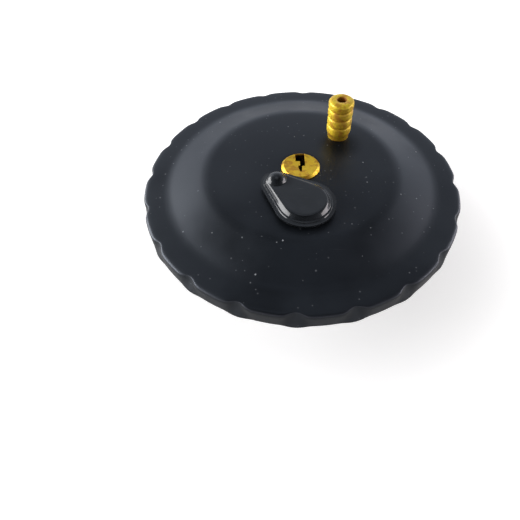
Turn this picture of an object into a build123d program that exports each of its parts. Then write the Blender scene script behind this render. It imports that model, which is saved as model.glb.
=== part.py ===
"""Locking fuel filler cap for a bayonet filler neck, with a breather hose barb.

A pressed, fluted steel cover carries a rubber gasket, an inner pan and a die-cast lock housing.
A sprung bayonet bridge hooks under the neck. The key turns the lock plug, whose eccentric
pin draws the locking bolt back. A dust flap swings over the keyway.

Millimetres, +Z up. The origin is on the cap's axis at the bottom of the lock housing.
+Y is the side that the top of the keyway points to.
"""
from build123d import *
import math
import os

# Overall heights. Every level below is measured from rim_top, the flat rim of the cover.
rim_top = 26.0
housing_foot = 0.0

# Filler neck that the pan centres in, and the width of the seat round it
pan_wall_radius = 38.0
neck_seat_width = 12.4

# Pressed cover
cover_sheet = 1.2
crown_rise = 4.5
rim_width = 7.6
slope_width = 12.6
crown_round = 12.0
slope_foot_round = 10.0
rim_round = 1.8
rim_corner_overhang = 0.1
skirt_depth = 5.2
skirt_flare = 1.0
cover_radius = pan_wall_radius + neck_seat_width
slope_foot_radius = cover_radius - rim_width
crown_edge_radius = slope_foot_radius - slope_width
rim_corner_radius = cover_radius + rim_corner_overhang
crown_top = rim_top + crown_rise
crown_under = crown_top - cover_sheet
rim_under = rim_top - cover_sheet
skirt_foot = rim_top - skirt_depth

# Grip flutes round the skirt: a narrow dent at the top edge that opens into a petal below
flute_count = 20
flute_pitch = 360.0 / flute_count
flute_start = 13.4
flute_dent = 1.75
flute_top_width = 5.4
flute_bulge = 0.5
flute_foot_width = 8.2

# Inner pan, spot-welded under the rim
pan_sheet = 1.0
pan_flange_inset = 1.95
pan_depth = 7.3
pan_bend = 1.6
pan_vent_radius = 2.5
pan_vent_count = 2
flute_inner_radius = cover_radius - cover_sheet - flute_dent
pan_flange_radius = flute_inner_radius - pan_flange_inset
pan_flange_top = rim_under
pan_flange_under = pan_flange_top - pan_sheet
pan_floor_under = pan_flange_top - pan_depth
pan_floor_top = pan_floor_under + pan_sheet

# Gasket
gasket_thickness = 2.5
gasket_cover_clearance = 0.15
gasket_pan_clearance = 0.2
gasket_step_clearance = 0.1
gasket_edge_round = 0.6
gasket_outer_radius = flute_inner_radius - gasket_cover_clearance
gasket_inner_radius = pan_wall_radius + gasket_pan_clearance
gasket_under = pan_flange_under - gasket_thickness

# Lock plug and key
plug_head_radius = 6.1
plug_head_flat_radius = 5.35
plug_head_lift = 0.1
plug_head_edge = 0.15
plug_head_height = 0.9
plug_dish = 0.2
plug_radius = 5.6
plug_bore_clearance = 0.05
plug_cover_clearance = 0.3
plug_length = 11.6
plug_tang = 4.0
plug_tang_length = 0.8
keyway_depth = 9.8
key_half_thickness = 1.5
keyway_top = 5.1
keyway_rib_top = 1.9
keyway_rib_gap = 0.15
keyway_rib_side = 0.85
keyway_ledge = -0.35
keyway_tip_side = 0.5
keyway_tip = -2.9
plug_head_under = crown_top + plug_head_lift
plug_head_top = plug_head_under + plug_head_height
plug_foot = plug_head_under - plug_length
keyway_foot = plug_head_under - keyway_depth

# Wafer tumblers, shown lifted to the shear line as a key lifts them
wafer_count = 5
wafer_pitch = 1.7
wafer_first_depth = 2.3
wafer_thickness = 1.0
wafer_width = 5.5
wafer_radius = 5.5
wafer_clearance = 0.05
wafer_window_width = 3.3
wafer_window_top = 4.95
wafer_window_foot = -3.1

# Die-cast lock housing
nose_wall = 1.1
barrel_wall = 2.0
housing_flange_width = 6.0
housing_flange_thickness = 2.0
housing_fillet = 0.8
chamber_clearance = 0.1
wafer_channel_side = 0.2
wafer_channel_depth = 1.4
wafer_channel_roof = 0.4
guide_groove_width = 4.3
guide_groove_depth = 1.0
wafer_channel_width = wafer_width + 2 * wafer_channel_side
wafer_channel_reach = plug_radius + wafer_channel_depth
nose_radius = wafer_channel_reach + nose_wall
housing_flange_top = pan_floor_top + housing_flange_thickness
plug_bore_radius = plug_radius + plug_bore_clearance
chamber_top = plug_foot + chamber_clearance

# Drive cam and its screw
cam_rim = 3.25
cam_thickness = 1.4
cam_pin_radius = 1.25
cam_throw = 4.0
cam_start_angle = 45.0
cam_screw_head_radius = 2.6
cam_screw_head_height = 0.6
cam_screw_radius = 1.1
cam_screw_length = 2.2
cam_screw_slot = 0.7
cam_screw_slot_depth = 0.35
cam_screw_clearance = 0.05
cam_radius = cam_throw + cam_pin_radius + cam_rim
cam_under = plug_foot - cam_thickness

# Locking bolt, drawn back by the cam pin, and what guides it
bolt_clearance = 0.1
bolt_thickness = 2.4
bolt_width = 8.0
bolt_hook = 4.0
bolt_nose_chamfer = 1.2
yoke_slot_clearance = 0.18
yoke_wall = 2.0
yoke_length_clearance = 0.3
yoke_chamber_clearance = 0.7
bolt_side_clearance = 0.1
guide_sheet = 1.0
guide_length = 6.0
guide_inset = 7.0
guide_foot_width = 5.0
bolt_reach = pan_wall_radius + bolt_hook
guide_place = pan_wall_radius - guide_inset
bolt_top = pan_floor_under - bolt_clearance
bolt_under = bolt_top - bolt_thickness
cam_pin_x = cam_throw * math.cos(math.radians(cam_start_angle))
cam_pin_y = cam_throw * math.sin(math.radians(cam_start_angle))
slot_half_width = cam_pin_radius + yoke_slot_clearance
slot_from = cam_pin_x - cam_pin_radius - yoke_length_clearance
slot_to = cam_throw + cam_pin_radius + yoke_length_clearance
yoke_back = cam_pin_y - slot_half_width - yoke_wall
yoke_front = cam_pin_y + slot_half_width + yoke_wall
yoke_side = slot_to + yoke_wall
chamber_radius = math.hypot(yoke_side, yoke_front) + yoke_chamber_clearance
barrel_radius = chamber_radius + barrel_wall
housing_flange_radius = barrel_radius + housing_flange_width
pan_vent_place = (housing_flange_radius + pan_wall_radius) / 2

# Plate pressed into the barrel under the bolt
keeper_thickness = 1.4
keeper_vent_radius = 2.0
keeper_top = bolt_under - bolt_clearance

# Bayonet bridge, its spring and the cup and ring that hold them
bridge_sheet = 2.0
bridge_hub_width = 6.5
bridge_width = 20.0
lug_hook = 5.5
bridge_hub_gap = 1.6
bridge_bend_inset = 9.0
bridge_bend_width = 4.5
bridge_bore_clearance = 0.3
bridge_tab_width = 4.0
bridge_tab_clearance = 0.3
neck_gap = 4.5
spring_length = 8.4
spring_wire = 1.5
spring_turns = 2.5
spring_inner_clearance = 0.7
cup_sheet = 1.2
cup_width = 8.0
cup_lip = 3.0
cup_bore_clearance = 0.05
ring_thickness = 1.0
ring_overhang = 2.1
ring_groove_depth = 0.8
ring_gap_angle = 40.0
bridge_reach = pan_wall_radius + lug_hook
bridge_hub_radius = barrel_radius + bridge_hub_width
cup_radius = barrel_radius + cup_width
ring_radius = barrel_radius + ring_overhang
bridge_bend_start = pan_wall_radius - bridge_bend_inset
bridge_bend_end = bridge_bend_start + bridge_bend_width
bridge_lug_top = gasket_under - neck_gap
bridge_hub_top = bolt_under - bridge_hub_gap
bridge_hub_under = bridge_hub_top - bridge_sheet
cup_floor_top = bridge_hub_under - spring_length
cup_floor_under = cup_floor_top - cup_sheet
ring_under = cup_floor_under - ring_thickness
ring_inner_radius = barrel_radius - ring_groove_depth

# Rivets that fasten the housing to the pan
rivet_count = 3
rivet_first_angle = 30.0
rivet_inset = 2.9
rivet_radius = 1.6
rivet_head_radius = 2.6
rivet_head_height = 1.0
rivet_head_round = 0.8
rivet_tail_height = 0.8
rivet_tail_round = 0.55
rivet_circle = housing_flange_radius - rivet_inset

# Dust flap, its rivet, bush and spring washer
flap_pivot_x = -7.7
flap_pivot_y = -8.5
flap_open_angle = -46.8
flap_sheet = 0.6
flap_gap = 1.1
flap_height = 2.2
flap_lobe_radius = 9.1
flap_tail_radius = 4.9
flap_flange_width = 1.4
flap_field_lobe_radius = 6.2
flap_field_tail_radius = 2.95
flap_edge_round = 0.35
flap_pin_radius = 1.6
flap_pin_clearance = 0.05
flap_pin_head_radius = 3.0
flap_pin_head_height = 1.9
flap_pin_tail_radius = 2.6
flap_pin_tail_height = 0.9
flap_bush_radius = 2.2
flap_washer_thickness = 0.3
flap_reach = math.hypot(flap_pivot_x, flap_pivot_y)
flap_under = crown_top + flap_gap
flap_flange_top = flap_under + flap_sheet
flap_top = flap_under + flap_height
flap_ceiling = flap_top - flap_sheet
flap_pin_hole = flap_pin_radius + flap_pin_clearance

# Breather hose barb, brazed into the cover from below
barb_x = 13.6
barb_y = 15.6
barb_height = 13.6
barb_bead_radius = 4.0
barb_groove_radius = 3.5
barb_neck_radius = 3.5
barb_neck_height = 1.8
barb_bead_count = 4
barb_bead_land = 1.7
barb_bead_swell = 0.75
barb_bead_ease = 0.3
barb_tip_round = 0.9
barb_bore_radius = 1.5
barb_bore_chamfer = 0.35
barb_flange_radius = 4.6
barb_flange_thickness = 1.5
barb_tail_radius = 3.0
barb_tail_length = 2.5
barb_bead_height = barb_bead_radius - barb_groove_radius
barb_top = crown_top + barb_height
barb_flange_under = crown_under - barb_flange_thickness
barb_tail_under = barb_flange_under - barb_tail_length


barb_axis = Axis((barb_x, barb_y, 0), (0, 0, 1))
barb_plane = Plane(origin=(barb_x, barb_y, 0), x_dir=(1, 0, 0), z_dir=(0, -1, 0))
flap_axis = Axis((flap_pivot_x, flap_pivot_y, 0), (0, 0, 1))
flap_pin_plane = Plane(origin=(flap_pivot_x, flap_pivot_y, 0), x_dir=(1, 0, 0), z_dir=(0, -1, 0))
guide_plane = Plane(
    origin=(0, guide_place - guide_length / 2, 0), x_dir=(-1, 0, 0), z_dir=(0, 1, 0)
)


def polar_point(radius, angle):
    """Give the point at a radius and an angle in degrees."""
    turn = math.radians(angle)
    return (radius * math.cos(turn), radius * math.sin(turn))


def fluted_outline(level, radius, flute_width, flute_shift):
    """Draw the skirt's outline at one level, each flute an arc pushed in or out."""
    half_angle = math.degrees(flute_width / 2 / radius)
    with BuildSketch(Plane.XY.offset(level)) as outline:
        with BuildLine():
            for index in range(flute_count):
                middle = flute_start + index * flute_pitch
                flute_from = polar_point(radius, middle - half_angle)
                flute_peak = polar_point(radius + flute_shift, middle)
                flute_to = polar_point(radius, middle + half_angle)
                lobe_peak = polar_point(radius, middle + flute_pitch / 2)
                lobe_to = polar_point(radius, middle + flute_pitch - half_angle)
                ThreePointArc(flute_from, flute_peak, flute_to)
                ThreePointArc(flute_to, lobe_peak, lobe_to)
        make_face()
    return outline.sketch


def cover_form(inset, foot):
    """Build the cover's filled form, inset by a sheet thickness for its inside."""
    slope_angle = math.atan2(crown_rise, slope_foot_radius - crown_edge_radius)
    corner_shift = inset * math.tan(slope_angle / 2)
    top = crown_top - inset
    rim = rim_top - inset
    radius = cover_radius - inset
    rim_corner = (rim_corner_radius - inset, rim)
    slope_corner = (slope_foot_radius - corner_shift, rim)
    crown_corner = (crown_edge_radius - corner_shift, top)
    with BuildPart() as form:
        upper = fluted_outline(rim, radius, flute_top_width, -flute_dent)
        lower = fluted_outline(foot, radius, flute_foot_width, flute_bulge)
        loft(sections=[upper, lower], ruled=True)
        with BuildSketch(Plane.XY.offset(rim)):
            Circle(radius - flute_dent)
        extrude(amount=crown_rise)
        with BuildSketch(Plane.XZ) as profile:
            with BuildLine():
                Polyline(
                    (0, foot),
                    (rim_corner_radius - inset + skirt_flare, foot),
                    rim_corner,
                    slope_corner,
                    crown_corner,
                    (0, top),
                    close=True,
                )
            make_face()
            corners = profile.vertices()
            fillet(corners.sort_by_distance(rim_corner)[0], rim_round - inset / 2)
            fillet(profile.vertices().sort_by_distance(slope_corner)[0], slope_foot_round + inset)
            fillet(profile.vertices().sort_by_distance(crown_corner)[0], crown_round - inset)
        revolve(profile.sketch, axis=Axis.Z, mode=Mode.INTERSECT)
    return form.part


def dome_middle(radius, height):
    """Give the point halfway along a spherical dome's profile, from its base centre."""
    sphere_radius = (radius**2 + height**2) / (2 * height)
    half_turn = math.asin(radius / sphere_radius) / 2
    drop = sphere_radius * (1 - math.cos(half_turn))
    return (sphere_radius * math.sin(half_turn), height - drop)


def pivot_ring(under, top):
    """Build a flat ring round the flap's rivet, between two levels."""
    with BuildPart() as body:
        with BuildSketch(Plane.XY.offset(under)):
            with Locations((flap_pivot_x, flap_pivot_y)):
                Circle(flap_bush_radius)
                Circle(flap_pin_radius, mode=Mode.SUBTRACT)
        extrude(amount=top - under)
    return body


def pear_outline(level, lobe_radius, tail_radius):
    """Draw the flap's pear outline: a big lobe and a small tail joined by straight sides."""
    flap_plane = Plane(
        origin=(flap_pivot_x, flap_pivot_y, level),
        x_dir=(*polar_point(1, flap_open_angle), 0),
        z_dir=(0, 0, 1),
    )
    with BuildSketch(flap_plane) as outline:
        Circle(tail_radius)
        with Locations((flap_reach, 0)):
            Circle(lobe_radius)
        make_hull()
    return outline.sketch


# Cover: a fluted, domed pressing with holes for the lock, the barb and the flap rivet
with BuildPart() as cover:
    add(cover_form(0, skirt_foot))
    add(cover_form(cover_sheet, skirt_foot), mode=Mode.SUBTRACT)
    with BuildSketch(Plane.XY.offset(crown_under)):
        Circle(plug_radius + plug_cover_clearance)
        with Locations((barb_x, barb_y)):
            Circle(barb_neck_radius)
        with Locations((flap_pivot_x, flap_pivot_y)):
            Circle(flap_pin_radius)
    extrude(amount=cover_sheet, mode=Mode.SUBTRACT)
cover.part.label = "cover"

# Inner pan: a pressed dish with a flange under the cover's rim
with BuildPart() as inner_pan:
    with BuildSketch(Plane.XZ) as pan_profile:
        with BuildLine():
            Polyline(
                (barrel_radius, pan_floor_under),
                (pan_wall_radius, pan_floor_under),
                (pan_wall_radius, pan_flange_under),
                (pan_flange_radius, pan_flange_under),
                (pan_flange_radius, pan_flange_top),
                (pan_wall_radius - pan_sheet, pan_flange_top),
                (pan_wall_radius - pan_sheet, pan_floor_top),
                (barrel_radius, pan_floor_top),
                close=True,
            )
        make_face()
        outer_bends = pan_profile.vertices().sort_by_distance((pan_wall_radius, pan_floor_under))
        fillet(outer_bends[0], pan_bend)
        inner_bends = pan_profile.vertices().sort_by_distance(
            (pan_wall_radius - pan_sheet, pan_floor_top)
        )
        fillet(inner_bends[0], pan_bend - pan_sheet)
    revolve(axis=Axis.Z)
    with BuildSketch(Plane.XY.offset(pan_floor_under)):
        with PolarLocations(rivet_circle, rivet_count, start_angle=rivet_first_angle):
            Circle(rivet_radius)
        with PolarLocations(pan_vent_place, pan_vent_count):
            Circle(pan_vent_radius)
    extrude(amount=pan_sheet, mode=Mode.SUBTRACT)
inner_pan.part.label = "inner_pan"

# Gasket: a moulded rubber ring, stepped to fill in round the pan's flange
with BuildPart() as gasket:
    with BuildSketch(Plane.XZ) as gasket_profile:
        with BuildLine():
            Polyline(
                (gasket_inner_radius, gasket_under),
                (gasket_outer_radius, gasket_under),
                (gasket_outer_radius, pan_flange_top),
                (pan_flange_radius + gasket_step_clearance, pan_flange_top),
                (pan_flange_radius + gasket_step_clearance, pan_flange_under),
                (gasket_inner_radius, pan_flange_under),
                close=True,
            )
        make_face()
        lower_corners = gasket_profile.vertices().group_by(Axis.Y)[0]
        fillet(lower_corners, gasket_edge_round)
    revolve(axis=Axis.Z)
gasket.part.label = "gasket"

# Lock housing: nose for the plug, flange on the pan, hollow barrel for the bayonet
with BuildPart() as lock_housing:
    with BuildSketch(Plane.XZ) as housing_profile:
        with BuildLine():
            Polyline(
                (plug_bore_radius, crown_under),
                (nose_radius, crown_under),
                (nose_radius, housing_flange_top),
                (housing_flange_radius, housing_flange_top),
                (housing_flange_radius, pan_floor_top),
                (barrel_radius, pan_floor_top),
                (barrel_radius, housing_foot),
                (chamber_radius, housing_foot),
                (chamber_radius, chamber_top),
                (plug_bore_radius, chamber_top),
                close=True,
            )
        make_face()
        nose_root = housing_profile.vertices().sort_by_distance((nose_radius, housing_flange_top))
        fillet(nose_root[0], housing_fillet)
        flange_rim = housing_profile.vertices().sort_by_distance(
            (housing_flange_radius, housing_flange_top)
        )
        fillet(flange_rim[0], housing_fillet)
    revolve(axis=Axis.Z)
    with BuildSketch(Plane.XY.offset(chamber_top)):
        Rectangle(wafer_channel_width, 2 * wafer_channel_reach)
    extrude(amount=crown_under - wafer_channel_roof - chamber_top, mode=Mode.SUBTRACT)
    with BuildSketch(Plane.XY.offset(pan_floor_top)):
        with PolarLocations(rivet_circle, rivet_count, start_angle=rivet_first_angle):
            Circle(rivet_radius)
    extrude(amount=housing_flange_thickness, mode=Mode.SUBTRACT)
    with BuildSketch(Plane.XY.offset(bolt_under - bolt_clearance)):
        with Locations((0, barrel_radius)):
            Rectangle(bolt_width + 2 * bolt_side_clearance, barrel_radius)
    extrude(amount=bolt_thickness + 2 * bolt_clearance, mode=Mode.SUBTRACT)
    with BuildSketch(Plane.XY):
        with PolarLocations(barrel_radius, 2):
            Rectangle(2 * guide_groove_depth, guide_groove_width)
    extrude(amount=bridge_hub_top, mode=Mode.SUBTRACT)
    with BuildSketch(Plane.XY.offset(ring_under)):
        Circle(barrel_radius)
        Circle(ring_inner_radius, mode=Mode.SUBTRACT)
    extrude(amount=ring_thickness, mode=Mode.SUBTRACT)
lock_housing.part.label = "lock_housing"


def housing_rivet(index):
    """Build one of the rivets through the housing's flange and the pan's floor."""
    place = polar_point(rivet_circle, rivet_first_angle + index * 360.0 / rivet_count)
    with BuildPart() as rivet:
        with BuildSketch(Plane.XY.offset(pan_floor_under)):
            with Locations(place):
                Circle(rivet_radius)
        extrude(amount=housing_flange_top - pan_floor_under)
        with BuildSketch(Plane.XY.offset(housing_flange_top)):
            with Locations(place):
                Circle(rivet_head_radius)
        extrude(amount=rivet_head_height)
        fillet(rivet.edges().group_by(Axis.Z)[-1], rivet_head_round)
        with BuildSketch(Plane.XY.offset(pan_floor_under)):
            with Locations(place):
                Circle(rivet_head_radius)
        extrude(amount=-rivet_tail_height)
        fillet(rivet.edges().group_by(Axis.Z)[0], rivet_tail_round)
    rivet.part.label = f"housing_rivet_{index + 1}"
    return rivet


rivets = [housing_rivet(index) for index in range(rivet_count)]

# Lock plug: bevelled, dished head with the keyway, slotted body and square tang
keyway_points = [
    (-key_half_thickness, keyway_top),
    (key_half_thickness, keyway_top),
    (key_half_thickness, keyway_ledge),
    (keyway_tip_side, keyway_ledge),
    (keyway_tip_side / 2, keyway_tip),
    (-keyway_tip_side / 2, keyway_tip),
    (-keyway_rib_side, keyway_ledge),
    (-keyway_rib_gap, keyway_ledge + keyway_tip_side),
    (-keyway_rib_gap, keyway_rib_top),
    (-key_half_thickness, keyway_rib_top),
]
with BuildPart() as lock_plug:
    with BuildSketch(Plane.XZ):
        with BuildLine():
            Line((0, plug_foot), (plug_radius, plug_foot))
            Line((plug_radius, plug_foot), (plug_radius, plug_head_under))
            Line((plug_radius, plug_head_under), (plug_head_radius, plug_head_under))
            edge_level = plug_head_under + plug_head_edge
            Line((plug_head_radius, plug_head_under), (plug_head_radius, edge_level))
            Line((plug_head_radius, edge_level), (plug_head_flat_radius, plug_head_top))
            dish_middle = (plug_head_flat_radius / 2, plug_head_top - plug_dish * 3 / 4)
            ThreePointArc(
                (plug_head_flat_radius, plug_head_top),
                dish_middle,
                (0, plug_head_top - plug_dish),
            )
            Line((0, plug_head_top - plug_dish), (0, plug_foot))
        make_face()
    revolve(axis=Axis.Z)
    with BuildSketch(Plane.XY.offset(plug_foot)):
        Rectangle(plug_tang, plug_tang)
    extrude(amount=-plug_tang_length)
    with BuildSketch(Plane.XY.offset(keyway_foot)):
        with BuildLine():
            Polyline(*keyway_points, close=True)
        make_face()
    extrude(amount=keyway_depth + plug_head_height, mode=Mode.SUBTRACT)
    for index in range(wafer_count):
        slot_middle = crown_top - wafer_first_depth - index * wafer_pitch
        with BuildSketch(Plane.XY.offset(slot_middle - wafer_thickness / 2 - wafer_clearance)):
            Rectangle(wafer_width + 2 * wafer_clearance, 2 * plug_head_radius)
        extrude(amount=wafer_thickness + 2 * wafer_clearance, mode=Mode.SUBTRACT)
    with BuildSketch(Plane.XY.offset(plug_foot - plug_tang_length)):
        Circle(cam_screw_radius)
    extrude(amount=cam_screw_length, mode=Mode.SUBTRACT)
lock_plug.part.label = "lock_plug"


def wafer(index):
    """Build one wafer tumbler, a brass plate with the window that the key passes through."""
    middle = crown_top - wafer_first_depth - index * wafer_pitch
    window_height = wafer_window_top - wafer_window_foot
    with BuildPart() as plate:
        with BuildSketch(Plane.XY.offset(middle - wafer_thickness / 2)):
            Circle(wafer_radius)
            Rectangle(wafer_width, 2 * wafer_radius, mode=Mode.INTERSECT)
            with Locations((0, (wafer_window_top + wafer_window_foot) / 2)):
                Rectangle(wafer_window_width, window_height, mode=Mode.SUBTRACT)
        extrude(amount=wafer_thickness)
    plate.part.label = f"wafer_{index + 1}"
    return plate


wafers = [wafer(index) for index in range(wafer_count)]

# Drive cam: a disc on the plug's tang with the eccentric pin that works the bolt
with BuildPart() as drive_cam:
    with BuildSketch(Plane.XY.offset(cam_under)):
        Circle(cam_radius)
        Rectangle(plug_tang, plug_tang, mode=Mode.SUBTRACT)
    extrude(amount=cam_thickness)
    with BuildSketch(Plane.XY.offset(cam_under)):
        Circle(cam_screw_head_radius + cam_screw_clearance)
    extrude(amount=cam_thickness - plug_tang_length, mode=Mode.SUBTRACT)
    with BuildSketch(Plane.XY.offset(bolt_under)):
        with Locations((cam_pin_x, cam_pin_y)):
            Circle(cam_pin_radius)
    extrude(amount=cam_under - bolt_under)
drive_cam.part.label = "drive_cam"

# Screw that holds the cam on the tang
with BuildPart() as cam_screw:
    screw_under = cam_under
    screw_head_top = screw_under + cam_screw_head_height
    with BuildSketch(Plane.XY.offset(screw_under)):
        Circle(cam_screw_head_radius)
    extrude(amount=cam_screw_head_height)
    with BuildSketch(Plane.XY.offset(screw_head_top)):
        Circle(cam_screw_radius)
    extrude(amount=cam_screw_length)
    with BuildSketch(Plane.XY.offset(screw_under)):
        Rectangle(2 * cam_screw_head_radius, cam_screw_slot)
    extrude(amount=cam_screw_slot_depth, mode=Mode.SUBTRACT)
cam_screw.part.label = "cam_screw"

# Locking bolt: a flat bar with a yoke whose cross slot takes the cam pin
with BuildPart() as lock_bolt:
    with BuildSketch(Plane.XY.offset(bolt_under)):
        with Locations((0, (yoke_back + bolt_reach) / 2)):
            Rectangle(bolt_width, bolt_reach - yoke_back)
        with Locations((yoke_side / 2, (yoke_back + yoke_front) / 2)):
            Rectangle(yoke_side, yoke_front - yoke_back)
        with Locations(((slot_from + slot_to) / 2, cam_pin_y)):
            Rectangle(slot_to - slot_from, 2 * slot_half_width, mode=Mode.SUBTRACT)
    extrude(amount=bolt_thickness)
    nose_edges = lock_bolt.edges().filter_by(Axis.Z).sort_by(Axis.Y)[-2:]
    chamfer(nose_edges, bolt_nose_chamfer)
lock_bolt.part.label = "lock_bolt"

# Guide strap that carries the bolt under the pan's floor
with BuildPart() as bolt_guide:
    strap_inner = bolt_width / 2 + bolt_side_clearance
    strap_outer = strap_inner + guide_sheet
    strap_foot = bolt_under - bolt_clearance
    with BuildSketch(guide_plane):
        with BuildLine():
            Polyline(
                (strap_outer + guide_foot_width, pan_floor_under),
                (strap_outer + guide_foot_width, pan_floor_under - guide_sheet),
                (strap_outer, pan_floor_under - guide_sheet),
                (strap_outer, strap_foot - guide_sheet),
                (-strap_outer, strap_foot - guide_sheet),
                (-strap_outer, pan_floor_under - guide_sheet),
                (-strap_outer - guide_foot_width, pan_floor_under - guide_sheet),
                (-strap_outer - guide_foot_width, pan_floor_under),
                (-strap_inner, pan_floor_under),
                (-strap_inner, strap_foot),
                (strap_inner, strap_foot),
                (strap_inner, pan_floor_under),
                close=True,
            )
        make_face()
    extrude(amount=guide_length)
bolt_guide.part.label = "bolt_guide"

# Keeper plate pressed into the barrel, with a breather hole
with BuildPart() as keeper_plate:
    with BuildSketch(Plane.XY.offset(keeper_top - keeper_thickness)):
        Circle(chamber_radius)
        with Locations((0, -chamber_radius / 2)):
            Circle(keeper_vent_radius, mode=Mode.SUBTRACT)
    extrude(amount=keeper_thickness)
keeper_plate.part.label = "keeper_plate"

# Bayonet bridge: a cranked steel strip whose raised ends hook under the neck's lip
with BuildPart() as bayonet_bridge:
    lug_under = bridge_lug_top - bridge_sheet
    with BuildSketch(Plane.XZ) as bridge_profile:
        with BuildLine():
            Polyline(
                (-bridge_reach, lug_under),
                (-bridge_bend_end, lug_under),
                (-bridge_bend_start, bridge_hub_under),
                (bridge_bend_start, bridge_hub_under),
                (bridge_bend_end, lug_under),
                (bridge_reach, lug_under),
                (bridge_reach, bridge_lug_top),
                (bridge_bend_end, bridge_lug_top),
                (bridge_bend_start, bridge_hub_top),
                (-bridge_bend_start, bridge_hub_top),
                (-bridge_bend_end, bridge_lug_top),
                (-bridge_reach, bridge_lug_top),
                close=True,
            )
        make_face()
    extrude(amount=bridge_hub_radius, both=True)
    with BuildSketch(Plane.XY.offset(bridge_hub_under)):
        Circle(bridge_hub_radius)
        Rectangle(2 * bridge_reach, bridge_width)
        Circle(bridge_reach, mode=Mode.INTERSECT)
        Circle(barrel_radius + bridge_bore_clearance, mode=Mode.SUBTRACT)
        with PolarLocations(barrel_radius, 2):
            Rectangle(2 * (guide_groove_depth - bridge_tab_clearance), bridge_tab_width)
    extrude(amount=bridge_lug_top - bridge_hub_under, mode=Mode.INTERSECT)
bayonet_bridge.part.label = "bayonet_bridge"

# Bayonet spring round the barrel, its ends ground flat
with BuildPart() as bayonet_spring:
    coil_radius = barrel_radius + spring_inner_clearance + spring_wire / 2
    coil_height = spring_length - spring_wire
    with BuildLine() as coil:
        Helix(
            pitch=coil_height / spring_turns,
            height=coil_height,
            radius=coil_radius,
            center=(0, 0, cup_floor_top + spring_wire / 2),
        )
    with BuildSketch(Plane(origin=coil.line @ 0, z_dir=coil.line % 0)):
        Circle(spring_wire / 2)
    sweep(path=coil.line)
bayonet_spring.part.label = "bayonet_spring"

# Spring cup: a washer with a turned-up lip
with BuildPart() as spring_cup:
    with BuildSketch(Plane.XZ) as cup_profile:
        cup_bore = barrel_radius + cup_bore_clearance
        with BuildLine():
            Polyline(
                (cup_bore, cup_floor_under),
                (cup_radius, cup_floor_under),
                (cup_radius, cup_floor_under + cup_lip),
                (cup_radius - cup_sheet, cup_floor_under + cup_lip),
                (cup_radius - cup_sheet, cup_floor_top),
                (cup_bore, cup_floor_top),
                close=True,
            )
        make_face()
        cup_corner = cup_profile.vertices().sort_by_distance((cup_radius, cup_floor_under))
        fillet(cup_corner[0], cup_sheet)
    revolve(axis=Axis.Z)
spring_cup.part.label = "spring_cup"

# Retaining ring in the barrel's groove
with BuildPart() as retaining_ring:
    with BuildSketch(Plane.XY.offset(ring_under)):
        Circle(ring_radius)
        Circle(ring_inner_radius, mode=Mode.SUBTRACT)
        gap_side = ring_radius * math.tan(math.radians(ring_gap_angle / 2))
        with BuildLine():
            Polyline(
                (0, 0),
                (gap_side, ring_radius),
                (gap_side, 2 * ring_radius),
                (-gap_side, 2 * ring_radius),
                (-gap_side, ring_radius),
                close=True,
            )
        make_face(mode=Mode.SUBTRACT)
    extrude(amount=ring_thickness)
retaining_ring.part.label = "retaining_ring"

# Hose barb: a turned brass spigot with rounded beads and a flange under the cover
with BuildPart() as hose_barb:
    bead_foot = crown_top + barb_neck_height
    bead_pitch = (barb_top - bead_foot) / barb_bead_count
    with BuildSketch(barb_plane):
        with BuildLine():
            Line((barb_bore_radius, barb_tail_under), (barb_tail_radius, barb_tail_under))
            Line((barb_tail_radius, barb_tail_under), (barb_tail_radius, barb_flange_under))
            Line((barb_tail_radius, barb_flange_under), (barb_flange_radius, barb_flange_under))
            Line((barb_flange_radius, barb_flange_under), (barb_flange_radius, crown_under))
            Line((barb_flange_radius, crown_under), (barb_neck_radius, crown_under))
            Line((barb_neck_radius, crown_under), (barb_neck_radius, bead_foot))
            from_point = (barb_neck_radius, bead_foot)
            for index in range(barb_bead_count):
                last = index == barb_bead_count - 1
                bead_low = bead_foot + index * bead_pitch
                bead_high = bead_low + bead_pitch
                land_low = bead_low + (bead_pitch - barb_bead_land) / 2
                land_high = barb_top - barb_tip_round if last else land_low + barb_bead_land
                ease = (land_low - bead_low) * barb_bead_ease
                swell = barb_groove_radius + barb_bead_height * barb_bead_swell
                land_from = (barb_bead_radius, land_low)
                land_to = (barb_bead_radius, land_high)
                to_point = (barb_groove_radius, bead_high)
                ThreePointArc(from_point, (swell, bead_low + ease), land_from)
                Line(land_from, land_to)
                if last:
                    to_point = (barb_bead_radius - barb_tip_round, barb_top)
                    RadiusArc(land_to, to_point, -barb_tip_round)
                else:
                    ThreePointArc(land_to, (swell, bead_high - ease), to_point)
                from_point = to_point
            Line(from_point, (barb_bore_radius + barb_bore_chamfer, barb_top))
            Line(
                (barb_bore_radius + barb_bore_chamfer, barb_top),
                (barb_bore_radius, barb_top - barb_bore_chamfer),
            )
            Line((barb_bore_radius, barb_top - barb_bore_chamfer), (barb_bore_radius, barb_tail_under))
        make_face()
    revolve(axis=barb_axis)
hose_barb.part.label = "hose_barb"

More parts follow.
